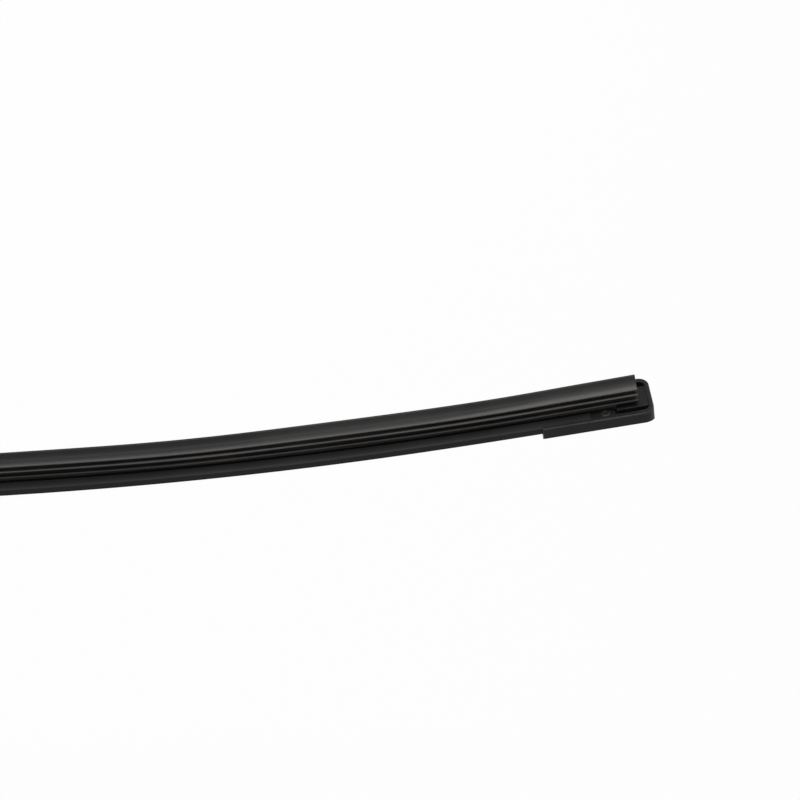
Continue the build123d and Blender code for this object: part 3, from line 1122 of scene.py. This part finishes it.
@dataclass
class SoftenedSolid:
    """Solid of the frame shown as a copy whose edges are slightly rounded.

    Attributes:
        node, name: names of the solid and of the piece.
        slot, finish: the piece's material slot, which is not used, and its material.
        body: the body that it moves with.
        rounding, segments: width of the rounded edges, and flat strips in each.
        strip: share of the rounding's width under which a face is part of a rounded edge.
        sharp: angle in degrees from which an edge is rounded.
        flat: angle in degrees under which neighbouring faces become one.
        step: length under which an edge is too short to be rounded.
        merge: distance under which two corners are one.
    """

    node: str
    name: str
    slot: Slot
    finish: bpy.types.Material
    body: Body = Body.BLADE
    rounding: float = 0.1
    segments: int = 3
    strip: float = 0.75
    sharp: float = 34.0
    flat: float = 0.6
    step: float = 0.045
    merge: float = 0.002

    def build(self, frame: dict[str, Any]) -> None:
        """Copies the solid, rounds its edges and hands it over.

        Args:
            frame: what the frame gave on loading.
        """
        mesh = frame["nodes"][self.node].data.copy()
        mesh.name = self.name
        work = bmesh.new()
        work.from_mesh(mesh)
        bmesh.ops.remove_doubles(work, verts=work.verts, dist=self.merge * MM)
        flat = math.radians(self.flat)
        bmesh.ops.dissolve_limit(work, angle_limit=flat, verts=work.verts, edges=work.edges)
        self._weigh_edges(work)
        work.to_mesh(mesh)
        work.free()
        mesh.materials.clear()
        mesh.materials.append(self.finish)
        piece = link(bpy.data.objects.new(self.name, mesh))
        bevel = piece.modifiers.new("rounded edges", "BEVEL")
        bevel.width = self.rounding * MM
        bevel.segments = self.segments
        bevel.limit_method = "WEIGHT"
        bevel.use_clamp_overlap = False
        settle(piece)
        self._mark_edges(piece.data)
        even_shading(piece)
        hand_over(piece, self.body, self.node)

    def _weigh_edges(self, work: bmesh.types.BMesh) -> None:
        """Picks the sharp edges to round, apart from those that meet a step too small to round.

        Args:
            work: the solid's copy.
        """
        weights = work.edges.layers.float.new("bevel_weight_edge")
        steps = [edge for edge in work.edges if edge.calc_length() < self.step * MM]
        small = {corner for edge in steps for corner in edge.verts}
        for edge in work.edges:
            sharp = edge.calc_face_angle(0.0) > math.radians(self.sharp)
            edge[weights] = float(sharp and small.isdisjoint(edge.verts))

    def _mark_edges(self, mesh: bpy.types.Mesh) -> None:
        """Merges doubled corners, then stores 1 on the rounded outer edges and 0 on the other faces.

        Args:
            mesh: the rounded mesh.
        """
        work = bmesh.new()
        work.from_mesh(mesh)
        bmesh.ops.remove_doubles(work, verts=work.verts, dist=self.merge * MM)
        marks = [float(self._is_rounding(face)) for face in work.faces]
        work.to_mesh(mesh)
        work.free()
        mesh.attributes.new(EDGE_WEAR_AND_HIGHLIGHT, "FLOAT", "FACE").data.foreach_set("value", marks)

    def _is_rounding(self, face: bmesh.types.BMFace) -> bool:
        """Tells the faces of rounded outer edges from the others.

        Args:
            face: a face.

        Returns:
            Whether it is a narrow strip that bulges outwards along its sides.
        """
        bulge = sum(edge.calc_length() * edge.calc_face_angle_signed(0.0) for edge in face.edges)
        widest = self.strip * self.rounding * MM
        return len(face.verts) > 3 and bulge > 0 and 2 * face.calc_area() < widest * face.calc_perimeter()


@dataclass
class StakedHeads:
    """Heads melted onto the end caps' four pegs, which hold the rails in the caps.

    Attributes:
        name: the piece's name.
        along, across: distances of the pegs from the blade's centre and from its middle plane.
        height: height of the heads' middle in the section.
        ring: radius of the bead's middle line.
        bead, rise: half width of the bead, and the share of it that the bead rises by.
        dish: share of the ring's radius that the melted middle rises by.
        ring_pieces, bead_pieces: flat pieces round the ring and round the bead.
        dish_rings, dish_pieces: rings of faces in the melted middle, and flat pieces round it.
    """

    name: str = "staked_peg_heads"
    along: float = 226.55
    across: float = 3.15
    height: float = -1.0
    ring: float = 0.98
    bead: float = 0.46
    rise: float = 0.6
    dish: float = 0.1
    ring_pieces: int = 40
    bead_pieces: int = 16
    dish_rings: int = 10
    dish_pieces: int = 32

    def _tree(self) -> GeometryGraph:
        """Builds the geometry tree that puts a head on each point, turned by the point's slope.

        Returns:
            The tree.
        """
        sizes = dict.fromkeys(("Ring", "Bead", "Rise", "Dish"), "Float")
        graph = GeometryGraph("staked_heads", {"Geometry": "Geometry", "Surface": "Material", **sizes})
        given = graph.given
        ring = {"Resolution": self.ring_pieces, "Radius": given["Ring"]}
        path = graph.output("GeometryNodeCurvePrimitiveCircle", ring)
        bead = {"Resolution": self.bead_pieces, "Radius": given["Bead"]}
        profile = graph.output("GeometryNodeCurvePrimitiveCircle", bead)
        ball = {"Segments": self.dish_pieces, "Rings": self.dish_rings, "Radius": given["Ring"]}
        shapes = {
            "Rise": graph.output("GeometryNodeCurveToMesh", {"Curve": path, "Profile Curve": profile}),
            "Dish": graph.output("GeometryNodeMeshUVSphere", ball),
        }
        head = graph.node("GeometryNodeJoinGeometry")
        for size, shape in shapes.items():
            flat = {"Geometry": shape, "Scale": graph.vector(1.0, 1.0, given[size])}
            graph.feed(head.inputs[0], graph.output("GeometryNodeTransform", flat))
        slope = graph.node("GeometryNodeInputNamedAttribute", {"Name": SLOPE}, data_type="FLOAT")
        turned = graph.vector(y=-graph.value(slope))
        heads = {"Points": given["Geometry"], "Instance": head.outputs[0], "Rotation": turned}
        graph.hand_out(graph.output("GeometryNodeInstanceOnPoints", heads))
        return graph

    def build(self, bow: Bow) -> None:
        """Makes the four heads as one piece and hands it over.

        Args:
            bow: the bow that the rails follow.
        """
        places = [(end.value * self.along, side * self.across) for end in End for side in (-1, 1)]
        spots = [bow.place(along, across, self.height) for along, across in places]
        mesh = bpy.data.meshes.new(self.name)
        mesh.from_pydata([spot * MM for spot, slope in spots], [], [])
        slopes = mesh.attributes.new(SLOPE, "FLOAT", "POINT")
        slopes.data.foreach_set("value", [slope for spot, slope in spots])
        piece = link(bpy.data.objects.new(self.name, mesh))
        sizes = {"Ring": self.ring * MM, "Bead": self.bead * MM, "Rise": self.rise, "Dish": self.dish}
        self._tree().run(piece, {"Surface": STAKED_PLASTIC.material(), **sizes})
        piece.data.shade_smooth()
        hand_over(piece, Body.BLADE)


@dataclass(frozen=True)
class Softbox:
    """Soft rectangular lamp.

    Attributes:
        name: its name.
        place, aim: where it hangs and the point that it faces.
        size, power: its two sides, and its power in watts.
    """

    name: str
    place: Place
    aim: Place
    size: Point
    power: float

    def build(self) -> None:
        """Hangs the lamp in the scene."""
        lamp = bpy.data.lights.new(self.name, "AREA")
        lamp.shape = "RECTANGLE"
        lamp.size, lamp.size_y = (side * MM for side in self.size)
        lamp.energy = self.power
        made = link(bpy.data.objects.new(self.name, lamp))
        made.location = Vector(self.place) * MM
        made.rotation_euler = (Vector(self.aim) - Vector(self.place)).to_track_quat("-Z", "Y").to_euler()


SOFTBOXES = (
    Softbox("top_softbox", (100.0, -60.0, 700.0), aim=(100.0, 0.0, 0.0), size=(900.0, 300.0), power=3.5),
    Softbox("front_softbox", (0.0, -650.0, 420.0), aim=(100.0, 0.0, 20.0), size=(700.0, 250.0), power=1.25),
    Softbox("rear_softbox", (0.0, 800.0, 160.0), aim=(0.0, 0.0, 20.0), size=(900.0, 250.0), power=2.4),
)


@dataclass
class Studio:
    """White sweep of floor, soft lamps and the camera.

    Attributes:
        camera_tilt, camera_turn: angles of the view below the horizon and from +Y towards +X, in degrees.
        camera_roll: turn of the picture, in degrees.
        camera_shift: place of the view's axis, right and up in the picture's own plane.
        camera_distance: distance from the camera to that plane through the blade's centre.
        camera_height: height of the blade's centre over the pivot.
        camera_near: distance from which the camera sees.
        lens, sensor: focal length and width of the sensor.
        floor_size: length of the floor's sides.
        floor_gap: room under the object, so that the swung blade stays clear of the floor.
        floor_greys, floor_dull: the paper's darkest and palest grey, and its roughness.
        floor_white: share of plain white in what the camera sees of the floor; the rest keeps the shadow.
        fibre_rate: paper fibres per millimetre.
        ambient: strength of the even light from all round.
    """

    camera_tilt: float = 43.334
    camera_turn: float = 7.436
    camera_roll: float = 4.24
    camera_shift: Point = (167.975, 23.128)
    camera_distance: float = 556.558
    camera_height: float = 13.0
    camera_near: float = 10.0
    lens: float = 90.0
    sensor: float = 36.0
    floor_size: float = 40000.0
    floor_gap: float = 200.0
    floor_greys: Band = (0.84, 0.88)
    floor_dull: float = 0.9
    floor_white: float = 0.95
    fibre_rate: float = 0.9
    ambient: float = 0.3

    def build(self, lowest: float) -> None:
        """Makes the floor, the world, the lamps and the camera.

        Args:
            lowest: height of the object's lowest point, in metres.
        """
        self._floor(lowest)
        self._world()
        for softbox in SOFTBOXES:
            softbox.build()
        self._camera()
        bpy.context.scene.view_settings.view_transform = "Standard"

    @staticmethod
    def _seen(graph: Graph) -> Value:
        """Tells what is looked at from what only lights the object.

        Args:
            graph: the tree of a material or the world.

        Returns:
            1 for what the camera sees directly, mirrored or through glass, and 0 for light on surfaces.
        """
        path = graph.node("ShaderNodeLightPath")
        seen = graph.value(path, "Is Camera Ray")
        for ray in ("Is Glossy Ray", "Is Transmission Ray"):
            seen = graph.math("MAXIMUM", seen, graph.value(path, ray))
        return seen

    def _floor(self, lowest: float) -> None:
        """Makes the pale floor, which looks white and keeps a soft shadow.

        Args:
            lowest: height of the object's lowest point, in metres.
        """
        half = self.floor_size * MM / 2
        level = lowest - self.floor_gap * MM
        corners = [(x * half, y * half, level) for x, y in ((-1, -1), (1, -1), (1, 1), (-1, 1))]
        mesh = bpy.data.meshes.new("pale_floor")
        mesh.from_pydata(corners, [], [range(len(corners))])
        paper = bpy.data.materials.new("pale_paper")
        paper.use_nodes = True
        graph = Graph(paper.node_tree)
        shader = paper.node_tree.nodes["Principled BSDF"]
        fibre = graph.noise(graph.object_place(), self.fibre_rate / MM, detail=3.0)
        dark, pale = ((grey, grey, grey) for grey in self.floor_greys)
        graph.feed(shader.inputs["Base Color"], graph.blend(fibre, dark, pale))
        shader.inputs["Roughness"].default_value = self.floor_dull
        glow = graph.output("ShaderNodeEmission", {"Color": WHITE, "Strength": 1.0})
        sockets = {0: self._seen(graph) * self.floor_white, 1: shader.outputs[0], 2: glow}
        mixed = graph.output("ShaderNodeMixShader", sockets)
        graph.feed(paper.node_tree.nodes["Material Output"].inputs["Surface"], mixed)
        mesh.materials.append(paper)
        link(bpy.data.objects.new("pale_floor", mesh))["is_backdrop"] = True

    def _world(self) -> None:
        """Makes the even light from all round and the white that the camera sees."""
        world = bpy.data.worlds.new("studio")
        bpy.context.scene.world = world
        world.use_nodes = True
        graph = Graph(world.node_tree)
        sockets = world.node_tree.nodes["Background"].inputs
        sockets["Color"].default_value = WHITE
        graph.feed(sockets["Strength"], between(self._seen(graph), self.ambient, 1.0))

    def _camera(self) -> None:
        """Sets the camera at the photograph's viewing angle."""
        angles = (self.camera_tilt, self.camera_turn, self.camera_roll)
        tilt, turn, roll = (math.radians(angle) for angle in angles)
        ahead = Vector((math.sin(turn) * math.cos(tilt), math.cos(turn) * math.cos(tilt), -math.sin(tilt)))
        level = Vector((math.cos(turn), -math.sin(turn), 0.0))
        upright = level.cross(ahead)
        right = level * math.cos(roll) + upright * math.sin(roll)
        up = upright * math.cos(roll) - level * math.sin(roll)
        place = right * self.camera_shift[0] + up * self.camera_shift[1] - ahead * self.camera_distance
        place += Vector((0.0, 0.0, self.camera_height))
        lens = bpy.data.cameras.new("camera")
        lens.lens = self.lens
        lens.sensor_width = self.sensor
        lens.clip_start = self.camera_near * MM
        camera = link(bpy.data.objects.new("camera", lens))
        turned = Matrix((right, up, -ahead)).transposed().to_4x4()
        camera.matrix_world = Matrix.Translation(place * MM) @ turned
        bpy.context.scene.camera = camera


def dress_solids(frame: dict[str, Any]) -> None:
    """Shows the moulded and steel pieces with rounded edges and their finishes.

    Args:
        frame: what the frame gave on loading.
    """
    plastic, steel = CAP_PLASTIC.material(), BLACK_STEEL.material()
    rivet, clip = RIVET_STEEL.material(), ADAPTER_PLASTIC.material()
    solids = []
    for end in End:
        solids.append(SoftenedSolid(f"end_cap_{end.word}", f"tray_cap_{end.word}", Slot.CAP_PLASTIC, plastic))
    for side in ("front", "rear"):
        solids.append(SoftenedSolid(f"spring_rail_{side}", f"steel_rail_{side}", Slot.SPRING_STEEL, steel))
    solids += [
        SoftenedSolid("connector_base", "connector_saddle", Slot.CAP_PLASTIC, plastic, rounding=0.12),
        SoftenedSolid("pivot_pin", "pivot_rivet", Slot.PIN_STEEL, rivet, rounding=0.4),
        SoftenedSolid("hook_adapter", "hook_clip", Slot.ADAPTER_PLASTIC, clip, Body.CLIP, rounding=0.25),
    ]
    for solid in solids:
        solid.build(frame)


def main() -> None:
    logging.basicConfig(level=logging.INFO, format="%(message)s")
    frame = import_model()
    solid_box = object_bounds()
    sweep = BowSweep()
    WiperRubber().build(sweep)
    Spoiler().build(sweep)
    dress_solids(frame)
    StakedHeads().build(sweep.bow)
    Studio().build(solid_box[0].z)


if __name__ == "__main__":
    main()
